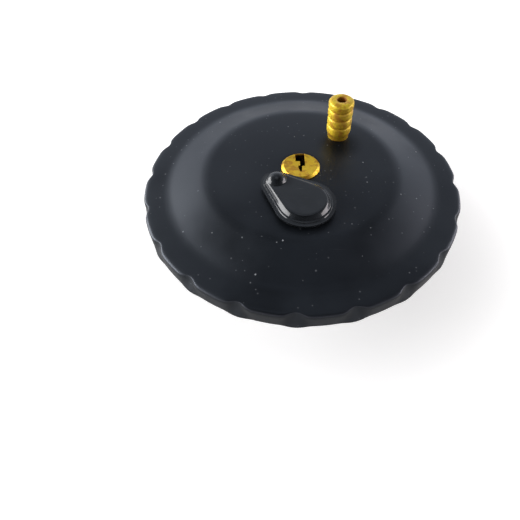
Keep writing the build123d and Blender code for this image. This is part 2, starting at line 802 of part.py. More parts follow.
# Dust flap: a pressed pear-shaped lid, a raised field inside a narrow flange
with BuildPart() as dust_flap:
    foot_lobe = flap_lobe_radius - flap_flange_width
    foot_tail = flap_tail_radius - flap_flange_width
    add(pear_outline(flap_under, flap_lobe_radius, flap_tail_radius))
    extrude(amount=flap_sheet)
    flap_foot = pear_outline(flap_flange_top, foot_lobe, foot_tail)
    flap_field = pear_outline(flap_top, flap_field_lobe_radius, flap_field_tail_radius)
    loft(sections=[flap_foot, flap_field], ruled=True)
    fillet(dust_flap.edges().group_by(Axis.Z)[-1], flap_edge_round)
    inner_foot = pear_outline(flap_under, foot_lobe - flap_sheet / 2, foot_tail - flap_sheet / 2)
    inner_field = pear_outline(
        flap_ceiling,
        flap_field_lobe_radius - flap_sheet / 2,
        flap_field_tail_radius - flap_sheet / 2,
    )
    loft(sections=[inner_foot, inner_field], ruled=True, mode=Mode.SUBTRACT)
    with BuildSketch(Plane.XY.offset(flap_ceiling)):
        with Locations((flap_pivot_x, flap_pivot_y)):
            Circle(flap_pin_hole)
    extrude(amount=flap_sheet, mode=Mode.SUBTRACT)
dust_flap.part.label = "dust_flap"

# Flap rivet: domed head, shank through bush and cover, peened tail
with BuildPart() as flap_rivet:
    with BuildSketch(flap_pin_plane):
        with BuildLine():
            head_top = flap_top + flap_pin_head_height
            tail_under = crown_under - flap_pin_tail_height
            head_out, head_up = dome_middle(flap_pin_head_radius, flap_pin_head_height)
            tail_out, tail_down = dome_middle(flap_pin_tail_radius, flap_pin_tail_height)
            head_swell = (head_out, flap_top + head_up)
            tail_swell = (tail_out, crown_under - tail_down)
            ThreePointArc((0, head_top), head_swell, (flap_pin_head_radius, flap_top))
            Line((flap_pin_head_radius, flap_top), (flap_pin_radius, flap_top))
            Line((flap_pin_radius, flap_top), (flap_pin_radius, crown_under))
            Line((flap_pin_radius, crown_under), (flap_pin_tail_radius, crown_under))
            ThreePointArc((flap_pin_tail_radius, crown_under), tail_swell, (0, tail_under))
            Line((0, tail_under), (0, head_top))
        make_face()
    revolve(axis=flap_axis)
flap_rivet.part.label = "flap_rivet"

# Bush and spring washer between the cover and the flap
flap_bush = pivot_ring(crown_top, flap_ceiling - flap_washer_thickness)
flap_bush.part.label = "flap_bush"
flap_washer = pivot_ring(flap_ceiling - flap_washer_thickness, flap_ceiling)
flap_washer.part.label = "flap_washer"

pieces = [
    cover,
    inner_pan,
    gasket,
    lock_housing,
    *rivets,
    lock_plug,
    *wafers,
    drive_cam,
    cam_screw,
    lock_bolt,
    bolt_guide,
    keeper_plate,
    bayonet_bridge,
    bayonet_spring,
    spring_cup,
    retaining_ring,
    hose_barb,
    dust_flap,
    flap_rivet,
    flap_bush,
    flap_washer,
]

os.makedirs("parts", exist_ok=True)
for piece in pieces:
    export_step(piece.part, f"parts/{piece.part.label}.step")
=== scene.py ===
"""Locking fuel filler cap: pressed cover, dust flap, brass lock and hose barb, with finishes.

Laid out as an add-on: settings, one operator for each piece or group of like pieces, and a panel.
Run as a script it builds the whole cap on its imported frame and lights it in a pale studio.
"""

import math

import bmesh
import bpy
from bpy.props import FloatProperty, FloatVectorProperty, PointerProperty
from bpy.types import Operator, Panel, PropertyGroup
from mathutils import Matrix, Vector


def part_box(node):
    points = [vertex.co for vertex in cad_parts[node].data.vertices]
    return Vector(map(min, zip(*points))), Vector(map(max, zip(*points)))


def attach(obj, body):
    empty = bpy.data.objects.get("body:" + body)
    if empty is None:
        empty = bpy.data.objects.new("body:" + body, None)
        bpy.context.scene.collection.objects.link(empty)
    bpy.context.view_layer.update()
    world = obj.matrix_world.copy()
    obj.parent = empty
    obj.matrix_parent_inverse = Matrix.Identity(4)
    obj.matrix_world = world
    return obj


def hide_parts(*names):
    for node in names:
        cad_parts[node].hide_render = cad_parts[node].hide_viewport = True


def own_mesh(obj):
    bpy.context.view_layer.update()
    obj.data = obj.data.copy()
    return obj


bl_info = {
    "name": "Fuel filler cap",
    "version": (1, 0, 0),
    "blender": (4, 5, 0),
    "location": "3D View > Sidebar > Filler cap",
    "description": "Builds a locking fuel filler cap with its paint, brass and plated finishes",
    "category": "Object",
}

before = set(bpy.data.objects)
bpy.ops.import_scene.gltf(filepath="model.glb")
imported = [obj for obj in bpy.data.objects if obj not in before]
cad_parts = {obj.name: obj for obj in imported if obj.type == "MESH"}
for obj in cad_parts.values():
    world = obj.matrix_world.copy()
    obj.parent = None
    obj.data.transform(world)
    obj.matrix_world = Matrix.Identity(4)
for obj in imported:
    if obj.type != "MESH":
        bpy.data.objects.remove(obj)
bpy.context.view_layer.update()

MM = 0.001

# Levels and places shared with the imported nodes, in metres
CROWN_TOP = 30.5 * MM
RIM_TOP = 26.0 * MM
SKIRT_FOOT = 20.8 * MM
COVER_RADIUS = 50.4 * MM
COVER_SHEET = 1.2 * MM
SLOPE_FOOT = 42.8 * MM
CROWN_EDGE = 30.2 * MM
CROWN_ROUND = 12.0 * MM
FOOT_ROUND = 10.0 * MM
RIM_ROUND = 1.8 * MM
LOCK_HOLE = 5.9 * MM
FLUTES = 20
FLUTE_START = 13.4
FLUTE_PITCH = 360.0 / FLUTES
FLAP_PIVOT = Vector((-7.7 * MM, -8.5 * MM, 0.0))
FLAP_REACH = 11.469 * MM
FLAP_ANGLE = math.radians(-46.8)
FLAP_AXIS = Vector((math.cos(FLAP_ANGLE), math.sin(FLAP_ANGLE), 0.0))
FLAP_LOBE = FLAP_PIVOT + FLAP_AXIS * FLAP_REACH
FLAP_TOP = 33.8 * MM
BARB_CENTRE = Vector((13.6 * MM, 15.6 * MM, 0.0))
BARB_TOP = 44.1 * MM
SPRING_WIRE = 1.5 * MM
SPRING_TURNS = 2.5
LATHE_PITCH = 0.16 * MM

# Sections of the pieces shaped here, in millimetres
CROWN_RINGS = (8.0, 12.0, 16.5, 21.0, 25.0)
SKIRT_LEVELS = (24.8, 24.1, 23.3, 22.4, 21.6, 21.0)
SKIRT_LEVELS_INSIDE = (21.0, 21.6, 22.4, 23.3, 23.9)
# The flap's rings from its skirt to its field: radius of the lobe, radius of the tail, height
FLAP_RINGS = (
    (9.1, 4.9, 32.2), (9.0, 4.8, 32.2), (8.25, 4.12, 32.2), (8.14, 4.02, 32.22),
    (8.05, 3.94, 32.34), (7.96, 3.86, 32.46), (7.85, 3.76, 32.5), (7.6, 3.54, 32.5),
    (7.5, 3.46, 32.54), (7.38, 3.4, 32.68), (6.92, 3.36, 33.24), (6.66, 3.14, 33.54),
    (6.5, 3.01, 33.67), (6.34, 2.91, 33.74), (6.12, 2.78, 33.785), (5.9, 2.66, 33.8),
    (5.6, 2.5, 33.8), (4.0, 1.7, 33.8), (2.0, 0.8, 33.8),
)
# Shares of a bead's half height at which its section has a point
BEAD_SHARES = (0.0, 0.3, 0.55, 0.72, 0.84, 0.93, 0.98)

# The camera's place and lens in millimetres, and its shift in pixels of the picture
CAMERA_PLACE = Vector((-8.19, -98.01, 118.75))
CAMERA_RIGHT = Vector((0.99956, -0.02345, -0.01845))
CAMERA_FORWARD = Vector((0.0, 0.6184, -0.7859))
CAMERA_LENS = 28.385
CAMERA_SENSOR = 36.0
PICTURE_SIDE = 520.0
SHIFT_RIGHT = -16.8
SHIFT_UP = -21.3


# ---- Settings that a user would change ----

LENGTH = {"subtype": "DISTANCE", "unit": "LENGTH"}
COLOUR = {"subtype": "COLOR", "size": 3, "min": 0.0, "max": 1.0}


class CoverSettings(PropertyGroup):
    """The pressed cover and its paint"""

    paint: FloatVectorProperty(
        name="Paint", description="Colour of the satin paint on the cover",
        **COLOUR, default=(0.0038, 0.005, 0.0066),
    )
    dust: FloatProperty(
        name="Dust", description="Share of the cover's cells that carry a speck of dust",
        min=0.0, max=1.0, default=0.45,
    )
    flute_dent: FloatProperty(
        name="Flute dent", description="How deep each flute cuts into the rim",
        **LENGTH, default=1.9 * MM,
    )
    flute_bulge: FloatProperty(
        name="Flute bulge", description="How far each flute stands out at the skirt's foot",
        **LENGTH, default=0.5 * MM,
    )
    flute_top_width: FloatProperty(
        name="Flute width at the rim", description="Width of a flute at the rim",
        **LENGTH, default=5.4 * MM,
    )
    flute_foot_width: FloatProperty(
        name="Flute width at the foot", description="Width of a flute at the skirt's foot",
        **LENGTH, default=8.2 * MM,
    )


class FlapSettings(PropertyGroup):
    """The dust flap and its rivet"""

    paint: FloatVectorProperty(
        name="Paint", description="Colour of the gloss paint on the flap",
        **COLOUR, default=(0.027, 0.031, 0.037),
    )
    sheet: FloatProperty(
        name="Sheet", description="Thickness of the flap's sheet",
        **LENGTH, default=0.6 * MM,
    )
    rivet_height: FloatProperty(
        name="Rivet dome", description="Height of the rivet's domed head",
        **LENGTH, default=1.9 * MM,
    )


class BrassSettings(PropertyGroup):
    """The brass lock plug and hose barb"""

    brass: FloatVectorProperty(
        name="Brass", description="Colour of the clean brass",
        **COLOUR, default=(1.0, 0.68, 0.045),
    )
    # Also laid as a painted dark reflection down the barb's front, and darker towards its foot
    tarnish: FloatVectorProperty(
        name="Tarnish", description="Colour of the brass in the grooves",
        **COLOUR, default=(0.28, 0.085, 0.014),
    )
    bead_radius: FloatProperty(
        name="Bead radius", description="Outer radius of the barb's beads",
        **LENGTH, default=4.0 * MM,
    )
    groove_radius: FloatProperty(
        name="Groove radius", description="Radius of the grooves between the beads",
        **LENGTH, default=3.5 * MM,
    )


class StudioSettings(PropertyGroup):
    """The pale studio round the cap"""

    horizon: FloatProperty(
        name="Horizon", description="Brightness of the walls near the floor",
        min=0.0, max=2.0, default=1.0,
    )
    ceiling: FloatProperty(
        name="Ceiling", description="Brightness straight overhead", min=0.0, max=2.0, default=0.5,
    )
    softbox: FloatProperty(
        name="Softbox", description="Brightness of the two large softboxes",
        min=0.0, max=20.0, default=1.4,
    )
    strip: FloatProperty(
        name="Strip light", description="Brightness of the two low strip lights",
        min=0.0, max=40.0, default=10.6,
    )


# ---- Shaping helpers, all on Blender's own modelling operators ----


def deselect_all():
    """Leave nothing selected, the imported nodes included."""
    if bpy.context.object and bpy.context.object.mode != "OBJECT":
        bpy.ops.object.mode_set(mode="OBJECT")
    bpy.ops.object.select_all(action="DESELECT")


def only(piece):
    """Make one object the selected and active one."""
    deselect_all()
    piece.select_set(True)
    bpy.context.view_layer.objects.active = piece


def start_ring(name, radius, height, segments, centre=(0.0, 0.0), turn=0.0):
    """Add the first ring of a turned or pressed piece and go into edit mode on it."""
    deselect_all()
    bpy.ops.mesh.primitive_circle_add(
        vertices=segments, radius=radius, location=(centre[0], centre[1], height),
        rotation=(0.0, 0.0, turn),
    )
    piece = bpy.context.object
    piece.name = name
    piece.data.name = name
    bpy.ops.object.transform_apply(location=True, rotation=True, scale=True)
    bpy.ops.object.mode_set(mode="EDIT")
    bpy.ops.mesh.select_mode(type="VERT")
    bpy.ops.mesh.select_all(action="SELECT")
    return piece


def scale_about(factor, centre):
    """Scale what is selected sideways about a centre."""
    if abs(factor - 1.0) > 1e-9:
        bpy.ops.transform.resize(value=(factor, factor, 1.0), center_override=tuple(centre))


def extrude_up(rise):
    """Extrude the selected ring straight up or down."""
    bpy.ops.mesh.extrude_edges_move(TRANSFORM_OT_translate={"value": (0.0, 0.0, rise)})


def close_ends():
    """Fill every open end of the piece in edit mode."""
    bpy.ops.mesh.select_all(action="SELECT")
    bpy.ops.mesh.fill_holes(sides=0)


def turned(name, profile, segments, centre=(0.0, 0.0), turn=0.0, ends="bridged"):
    """Turn a profile of (radius, height) points about a vertical axis, ring by ring."""
    radius, height = profile[0]
    piece = start_ring(name, radius, height, segments, centre, turn)
    for next_radius, next_height in profile[1:]:
        extrude_up(next_height - height)
        scale_about(next_radius / radius, (centre[0], centre[1], next_height))
        radius, height = next_radius, next_height
    if ends == "bridged":
        bpy.ops.mesh.select_all(action="DESELECT")
        bpy.ops.mesh.select_non_manifold(
            extend=False, use_wire=False, use_boundary=True, use_multi_face=False,
            use_non_contiguous=False, use_verts=False,
        )
        bpy.ops.mesh.bridge_edge_loops()
    else:
        close_ends()
    return piece


def arc(centre, radius, start, stop, steps):
    """Give profile points on an arc, its angles in degrees from straight up towards outwards."""
    points = []
    for step in range(steps + 1):
        angle = math.radians(start + (stop - start) * step / steps)
        points.append((centre[0] + radius * math.sin(angle), centre[1] + radius * math.cos(angle)))
    return points


def between(start, stop, steps):
    """Give the points between two profile points, without the two themselves."""
    shares = [step / steps for step in range(1, steps)]
    return [tuple(a + (b - a) * share for a, b in zip(start, stop)) for share in shares]


def select_where(piece, test, ring=None):
    """Select the vertices of the piece in edit mode, or of a ring, whose place passes a test."""
    mesh = bmesh.from_edit_mesh(piece.data)
    mesh.verts.index_update()
    for edge in mesh.edges:
        edge.select = False
    count = 0
    for vertex in mesh.verts:
        vertex.select = (ring is None or vertex.index in ring) and test(vertex.co)
        count += vertex.select
    mesh.select_flush_mode()
    bmesh.update_edit_mesh(piece.data)
    if count == 0:
        raise RuntimeError(f"nothing to select on {piece.name}")


def selected_places(piece):
    """Give the index of each selected vertex of the piece in edit mode."""
    mesh = bmesh.from_edit_mesh(piece.data)
    mesh.verts.index_update()
    return {vertex.index for vertex in mesh.verts if vertex.select}


def divide_long_edges(piece, length, cuts):
    """Divide every edge of the piece in edit mode that is longer than a length."""
    bpy.ops.mesh.select_all(action="DESELECT")
    bpy.ops.mesh.select_mode(type="EDGE")
    mesh = bmesh.from_edit_mesh(piece.data)
    for edge in mesh.edges:
        edge.select_set(edge.calc_length() > length)
    bmesh.update_edit_mesh(piece.data)
    bpy.ops.mesh.subdivide(number_cuts=cuts)
    bpy.ops.mesh.select_mode(type="VERT")


def use_modifier(piece, kind, **values):
    """Add a modifier with the given values and apply it."""
    only(piece)
    modifier = piece.modifiers.new(kind.title(), kind)
    for name, value in values.items():
        setattr(modifier, name, value)
    bpy.ops.object.modifier_apply(modifier=modifier.name)


def tidy_mesh(piece):
    """Merge doubles and point every face outwards, then leave edit mode."""
    bpy.ops.mesh.select_all(action="SELECT")
    bpy.ops.mesh.remove_doubles(threshold=1e-6)
    bpy.ops.mesh.normals_make_consistent(inside=False)
    bpy.ops.object.mode_set(mode="OBJECT")


def dress(piece, body, maker, replaced, smooth_angle):
    """Smooth a finished piece, give it its finish and let it ride on its body."""
    only(piece)
    bpy.ops.object.transform_apply(location=True, rotation=True, scale=True)
    bpy.ops.object.shade_smooth_by_angle(angle=math.radians(smooth_angle))
    piece.data.materials.clear()
    piece.data.materials.append(finish(maker))
    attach(piece, body)
    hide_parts(replaced)


def dress_nodes(names, maker):
    """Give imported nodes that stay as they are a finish."""
    material = finish(maker)
    for name in names:
        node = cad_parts[name]
        if not node.material_slots:
            node.data.materials.append(material)
        for place in node.material_slots:
            place.material = material


# ---- Node helpers ----

# Places of the Mix node's colour sockets, which share their labels with its number sockets
MIX_UNDER, MIX_OVER, MIX_RESULT = 6, 7, 2


def feed(tree, node, inputs):
    """Feed a node's inputs, given by label or place, with sockets, numbers or colours."""
    for place, value in inputs.items():
        socket = node.inputs[place]
        if isinstance(value, bpy.types.NodeSocket):
            tree.links.new(value, socket)
        else:
            socket.default_value = (*value, 1.0) if socket.type == "RGBA" else value


def add_node(tree, kind, inputs=None, **settings):
    """Add a shader node with its settings and feed its inputs."""
    node = tree.nodes.new("ShaderNode" + kind)
    for name, value in settings.items():
        setattr(node, name, value)
    feed(tree, node, inputs or {})
    return node


def calculate(tree, operation, *values):
    """Add a Math node on sockets or plain numbers and give its result."""
    return add_node(tree, "Math", dict(enumerate(values)), operation=operation).outputs[0]


def remap(tree, value, from_low, from_high, to_low, to_high, smooth=False):
    """Map a value from one range to another, clamped, and give its result."""
    ends = {
        "Value": value, "From Min": from_low, "From Max": from_high,
        "To Min": to_low, "To Max": to_high,
    }
    curve = "SMOOTHSTEP" if smooth else "LINEAR"
    return add_node(tree, "MapRange", ends, interpolation_type=curve).outputs["Result"]


def parts_of(tree, vector):
    """Give a vector's three parts: 0 and 1 level, 2 upright."""
    return add_node(tree, "SeparateXYZ", {0: vector}).outputs


def upward(tree):
    """Give how far a surface faces up: 1 on flats, 0 on upright walls."""
    return parts_of(tree, add_node(tree, "NewGeometry").outputs["Normal"])[2]


def blend(tree, mask, under, over):
    """Mix two colours by a mask and give the result."""
    inputs = {"Factor": mask, MIX_UNDER: under, MIX_OVER: over}
    return add_node(tree, "Mix", inputs, data_type="RGBA").outputs[MIX_RESULT]


def layered(tree, ground, *layers):
    """Lay colours over a ground in turn, each a (mask, share, colour), and give the result."""
    for mask, share, over in layers:
        ground = blend(tree, calculate(tree, "MULTIPLY", mask, share), ground, over)
    return ground


def tinted(value, red, green, blue):
    """Give a colour with its channels scaled."""
    factors = (red, green, blue)
    return tuple(min(1.0, channel * factor) for channel, factor in zip(value, factors))


def bump(tree, height, distance, strength, normal=None):
    """Raise the surface by a height and give its normal."""
    inputs = {"Strength": strength, "Distance": distance, "Height": height}
    if normal is not None:
        inputs["Normal"] = normal
    return add_node(tree, "Bump", inputs).outputs["Normal"]


# ---- Effects that several finishes use, each a node group ----


def dust_specks(group, given):
    """Specks of dust: small round grains of mixed size in some cells of a loose pattern."""
    lay = {"Vector": given["Vector"], "Scale": given["Scale"]}
    cells = add_node(group, "TexVoronoi", lay, feature="F1").outputs
    chance = add_node(group, "SeparateColor", {"Color": cells["Color"]}).outputs
    present = calculate(group, "LESS_THAN", chance[0], given["Share"])
    spread = remap(group, chance[1], 0.0, 1.0, 0.35, 1.0)
    reach = calculate(group, "MULTIPLY", spread, given["Size"])
    near = remap(group, cells["Distance"], 0.0, reach, 1.0, 0.0, smooth=True)
    faint = calculate(group, "POWER", chance[2], 4.0)
    shade = remap(group, faint, 0.0, 1.0, 0.14, 1.0)
    speck = calculate(group, "MULTIPLY", near, present)
    return {"Mask": calculate(group, "MULTIPLY", speck, shade)}


def cloudy_grain(group, given):
    """Cloudy grain: one noise, given both as a mask from 0 to 1 and as a height."""
    lay = {label: given[label] for label in ("Vector", "Scale", "Detail")}
    height = add_node(group, "TexNoise", lay).outputs["Fac"]
    mask = remap(group, height, given["Low"], given["High"], 0.0, 1.0, smooth=True)
    return {"Mask": mask, "Height": height}


def handling_scratches(group, given):
    """Fine handling scratches, thin streaks that lie in two directions."""
    level = calculate(group, "SUBTRACT", 0.82, given["Share"])
    top = calculate(group, "ADD", level, 0.06)
    masks = []
    for turn, stretch in ((0.5, 26.0), (-1.1, 34.0)):
        lay = {
            "Vector": given["Vector"], "Rotation": (0.15, 0.1, turn),
            "Scale": (1.0, stretch, 1.0),
        }
        laid = add_node(group, "Mapping", lay).outputs["Vector"]
        inputs = {"Vector": laid, "Scale": given["Scale"], "Detail": 2.0}
        streaks = add_node(group, "TexNoise", inputs).outputs["Fac"]
        masks.append(remap(group, streaks, level, top, 0.0, 1.0))
    return {"Mask": calculate(group, "MAXIMUM", *masks)}


def turning_marks(group, given):
    """Marks left by a lathe: fine rings round an upright axis, on faces and flanks alike."""
    ends = {0: given["Vector"], 1: given["Centre"]}
    offset = add_node(group, "VectorMath", ends, operation="SUBTRACT").outputs[0]
    parts = parts_of(group, offset)
    squares = [calculate(group, "MULTIPLY", part, part) for part in (parts[0], parts[1])]
    radius = calculate(group, "SQRT", calculate(group, "ADD", *squares))
    path = calculate(group, "ADD", radius, parts[2])
    steps = calculate(group, "DIVIDE", path, given["Pitch"])
    inputs = {"W": steps, "Scale": 1.0, "Detail": 2.0}
    rings = add_node(group, "TexNoise", inputs, noise_dimensions="1D").outputs["Fac"]
    return {"Height": rings, "Radius": radius}


def worn_edges(group, given):
    """Worn edges: where the surface turns sharply, broken up by grain."""
    rounded = add_node(group, "Bevel", {"Radius": given["Radius"]}, samples=4).outputs["Normal"]
    pair = {0: rounded, 1: add_node(group, "NewGeometry").outputs["Normal"]}
    alike = add_node(group, "VectorMath", pair, operation="DOT_PRODUCT").outputs["Value"]
    turnedness = remap(group, alike, 0.75, 0.97, 1.0, 0.0)
    inputs = {"Vector": given["Vector"], "Scale": given["Grain"], "Detail": 3.0}
    noise = add_node(group, "TexNoise", inputs).outputs["Fac"]
    breakup = remap(group, noise, 0.42, 0.62, 0.0, 1.0)
    return {"Mask": calculate(group, "MULTIPLY", turnedness, breakup), "Normal": rounded}


# The effects' groups by name: what fills each, and its inputs' defaults, None for a vector
DUST, GRAIN, SCRATCHES = "Dust specks", "Cloudy grain", "Handling scratches"
TURNING, EDGES = "Turning marks", "Worn edges"
EFFECTS = {
    DUST: (dust_specks, {"Scale": 400.0, "Share": 0.1, "Size": 0.12}),
    GRAIN: (cloudy_grain, {"Scale": 100.0, "Detail": 2.0, "Low": 0.35, "High": 0.65}),
    SCRATCHES: (handling_scratches, {"Scale": 60.0, "Share": 0.1}),
    TURNING: (turning_marks, {"Centre": None, "Pitch": LATHE_PITCH}),
    EDGES: (worn_edges, {"Radius": 0.4 * MM, "Grain": 600.0}),
}


def make_group(name):
    """Make an effect's shader node group with named sockets."""
    fill, values = EFFECTS[name]
    group = bpy.data.node_groups.new(name, "ShaderNodeTree")
    for label, value in {"Vector": None, **values}.items():
        kind = "NodeSocketVector" if value is None else "NodeSocketFloat"
        socket = group.interface.new_socket(label, in_out="INPUT", socket_type=kind)
        if value is not None:
            socket.default_value = value
    results = fill(group, group.nodes.new("NodeGroupInput").outputs)
    for label, result in results.items():
        kind = "NodeSocketVector" if result.type == "VECTOR" else "NodeSocketFloat"
        group.interface.new_socket(label, in_out="OUTPUT", socket_type=kind)
    feed(group, group.nodes.new("NodeGroupOutput"), results)
    return group


def effect(tree, name, place, **values):
    """Place an effect's group in a finish with its own values and give its outputs."""
    group = bpy.data.node_groups.get(name) or make_group(name)
    return add_node(tree, "Group", {"Vector": place, **values}, node_tree=group).outputs


# ---- Finishes ----


def start_material(name):
    """Make an empty material and give it with its tree and the object's coordinates."""
    material = bpy.data.materials.new(name)
    material.use_nodes = True
    tree = material.node_tree
    tree.nodes.clear()
    return material, tree, add_node(tree, "TexCoord").outputs["Object"]


def cover_paint(tree, place):
    """Satin black stoving paint: faint orange peel, cloudy sheen, dust specks and smudges, with a
    painted highlight on the rim's bend and a painted dark reflection in front of the barb.
    """
    settings = bpy.context.scene.filler_cover
    base = tuple(settings.paint)
    cloud = effect(tree, GRAIN, place, Scale=45.0, Detail=4.0)
    peel = effect(tree, GRAIN, place, Scale=1500.0)
    fine = effect(tree, DUST, place, Scale=560.0, Share=settings.dust, Size=0.23)
    coarse = effect(tree, DUST, place, Scale=150.0, Share=0.32, Size=0.085)
    worn = effect(tree, EDGES, place, Radius=0.5 * MM, Grain=900.0)
    marks = effect(tree, SCRATCHES, place, Scale=35.0, Share=0.05)
    rise = upward(tree)
    # Painted highlight: the paint is lighter on the rim's rounded bend, where the surface turns
    # from flat to upright
    rim_bend_painted_highlight = calculate(
        tree, "MULTIPLY", remap(tree, rise, 0.3, 0.6, 0.0, 1.0, smooth=True),
        remap(tree, rise, 0.7, 0.88, 1.0, 0.0, smooth=True),
    )
    dust = calculate(tree, "MAXIMUM", fine["Mask"], coarse["Mask"])
    look = layered(
        tree, blend(tree, cloud["Mask"], base, tinted(base, 1.8, 1.8, 1.8)),
        (marks["Mask"], 0.22, (0.12, 0.125, 0.135)),
        (worn["Mask"], 0.25, (0.1, 0.1, 0.105)),
        (rim_bend_painted_highlight, 0.5, (0.06, 0.058, 0.07)),
        (dust, 1.0, (0.7, 0.73, 0.78)),
    )
    sheen = remap(tree, cloud["Mask"], 0.0, 1.0, 0.35, 0.45)
    # Painted reflection: the paint's reflection is dimmed just in front of the barb, standing in
    # for the barb's dark reflection
    barb_reflection_spot = {0: place, 1: (BARB_CENTRE.x, BARB_CENTRE.y - 5.0 * MM, CROWN_TOP)}
    away = add_node(tree, "VectorMath", barb_reflection_spot, operation="DISTANCE").outputs["Value"]
    painted_dark_reflection = remap(tree, away, 3.0 * MM, 9.0 * MM, 0.35, 1.0, smooth=True)
    gloss = remap(tree, rise, 0.1, 0.6, 0.27, 0.59, smooth=True)
    return {
        "Base Color": look,
        "Roughness": calculate(tree, "MULTIPLY_ADD", dust, 0.4, sheen),
        "Specular IOR Level": calculate(tree, "MULTIPLY", gloss, painted_dark_reflection),
        "Specular Tint": (0.78, 0.86, 1.0),
        "Normal": bump(tree, peel["Height"], 0.01 * MM, 0.5),
    }


def flap_paint(tree, place):
    """Gloss black paint: smoother than the cover's, with nicks, fine scratches, dust and painted
    shade on its walls.
    """
    base = tuple(bpy.context.scene.filler_flap.paint)
    cloud = effect(tree, GRAIN, place, Scale=160.0, Detail=3.0)
    fine = effect(tree, DUST, place, Scale=900.0, Share=0.06, Size=0.14)
    marks = effect(tree, SCRATCHES, place, Scale=130.0, Share=0.09)
    worn = effect(tree, EDGES, place, Radius=0.3 * MM, Grain=1400.0)
    # Painted shade: all but the flap's flats, its walls and edges, are darkened to 15% of the
    # paint's colour
    film_and_wall_shade = remap(tree, upward(tree), 0.85, 0.99, 0.0, 1.0, smooth=True)
    look = layered(
        tree, blend(tree, film_and_wall_shade, tinted(base, 0.15, 0.15, 0.15), base),
        (cloud["Mask"], 0.35, tinted(base, 1.5, 1.5, 1.5)),
        (marks["Mask"], 0.5, (0.16, 0.17, 0.18)),
        (worn["Mask"], 0.5, (0.12, 0.12, 0.125)),
        (fine["Mask"], 0.7, (0.5, 0.52, 0.55)),
    )
    sheen = remap(tree, cloud["Mask"], 0.0, 1.0, 0.09, 0.15)
    rough = calculate(tree, "MULTIPLY_ADD", marks["Mask"], 0.25, sheen)
    skin = bump(tree, cloud["Height"], 0.02 * MM, 0.2)
    return {"Base Color": look, "Roughness": rough, "Normal": skin}


def turned_brass(tree, place, rings, patina_and_shade_mask, patina_and_shade_colour, yellow=1.0, metallic=0.62):
    """Turned brass: lathe rings, warm blotches and specks, with tarnish and painted shade laid by a
    mask.
    """
    cloud = effect(tree, GRAIN, place, Scale=420.0, Detail=4.0, Low=0.38, High=0.66)
    blotch = effect(tree, GRAIN, place, Scale=620.0, Detail=5.0, Low=0.44, High=0.64)
    marks = effect(tree, SCRATCHES, place, Scale=170.0, Share=0.11)
    specks = effect(tree, DUST, place, Scale=1200.0, Share=0.45, Size=0.3)
    soft = effect(tree, EDGES, place, Radius=0.12 * MM, Grain=900.0)
    clean = tinted(bpy.context.scene.filler_brass.brass, 1.0, yellow, 1.0)
    look = layered(
        tree, blend(tree, cloud["Mask"], clean, tinted(clean, 0.92, 0.86, 0.7)),
        (remap(tree, rings["Height"], 0.35, 0.7, 0.0, 1.0), 0.25, tinted(clean, 0.76, 0.7, 0.6)),
        (blotch["Mask"], 0.8, (0.6, 0.28, 0.03)),
        # Tarnish and painted shade: each brass lays its own colour where its mask says
        (patina_and_shade_mask, remap(tree, cloud["Height"], 0.3, 0.6, 0.7, 1.0), patina_and_shade_colour),
        (specks["Mask"], 0.55, (0.1, 0.045, 0.01)),
    )
    sheen = remap(tree, cloud["Mask"], 0.0, 1.0, 0.3, 0.52)
    return {
        "Base Color": look,
        "Metallic": remap(tree, patina_and_shade_mask, 0.0, 1.0, metallic, metallic * 0.65),
        "Roughness": calculate(tree, "MULTIPLY_ADD", marks["Mask"], 0.2, sheen),
        "Normal": bump(tree, rings["Height"], 0.02 * MM, 0.5, soft["Normal"]),
    }


def barb_brass(tree, place):
    """Brass of the hose barb, tarnished in its bore and creases, darker towards its foot, with a
    painted dark reflection down its front.
    """
    bore_wall, bore_mouth = 1.4 * MM, 1.9 * MM
    beads_inner, crease_floor, crease_top = 3.3 * MM, 3.52 * MM, 3.72 * MM
    beads_low, beads_high = CROWN_TOP + 2.2 * MM, BARB_TOP - 1.0 * MM
    foot_low, foot_high = CROWN_TOP + 1.4 * MM, CROWN_TOP + 2.4 * MM
    rings = effect(tree, TURNING, place, Centre=tuple(BARB_CENTRE), Pitch=LATHE_PITCH)
    radius, parts = rings["Radius"], parts_of(tree, place)
    bore = remap(tree, radius, bore_wall, bore_mouth, 1.0, 0.0, smooth=True)
    outside = calculate(tree, "GREATER_THAN", radius, beads_inner)
    crease = remap(tree, radius, crease_floor, crease_top, 0.9, 0.0, smooth=True)
    below = calculate(tree, "LESS_THAN", parts[2], beads_high)
    above = calculate(tree, "GREATER_THAN", parts[2], beads_low)
    beads = calculate(tree, "MULTIPLY", below, above)
    # Painted reflection: the beads darken down the side facing the camera, standing in for the dark
    # surroundings they reflect
    ahead = calculate(tree, "SUBTRACT", BARB_CENTRE.y, parts[1])
    facing = calculate(tree, "DIVIDE", ahead, radius)
    front_painted_reflection = remap(tree, facing, 0.7, 0.98, 0.0, 0.5, smooth=True)
    creases_and_front_reflection = calculate(tree, "MAXIMUM", crease, front_painted_reflection)
    # Darker towards the foot, where the barb meets the cover
    foot = remap(tree, parts[2], foot_low, foot_high, 0.6, 0.0, smooth=True)
    creases_front_reflection_and_foot = calculate(tree, "MAXIMUM", calculate(tree, "MULTIPLY", creases_and_front_reflection, beads), foot)
    patina_and_shade_mask = calculate(tree, "MAXIMUM", bore, calculate(tree, "MULTIPLY", creases_front_reflection_and_foot, outside))
    tarnish = tuple(bpy.context.scene.filler_brass.tarnish)
    return turned_brass(tree, place, rings, patina_and_shade_mask, tarnish, yellow=1.1, metallic=0.25)


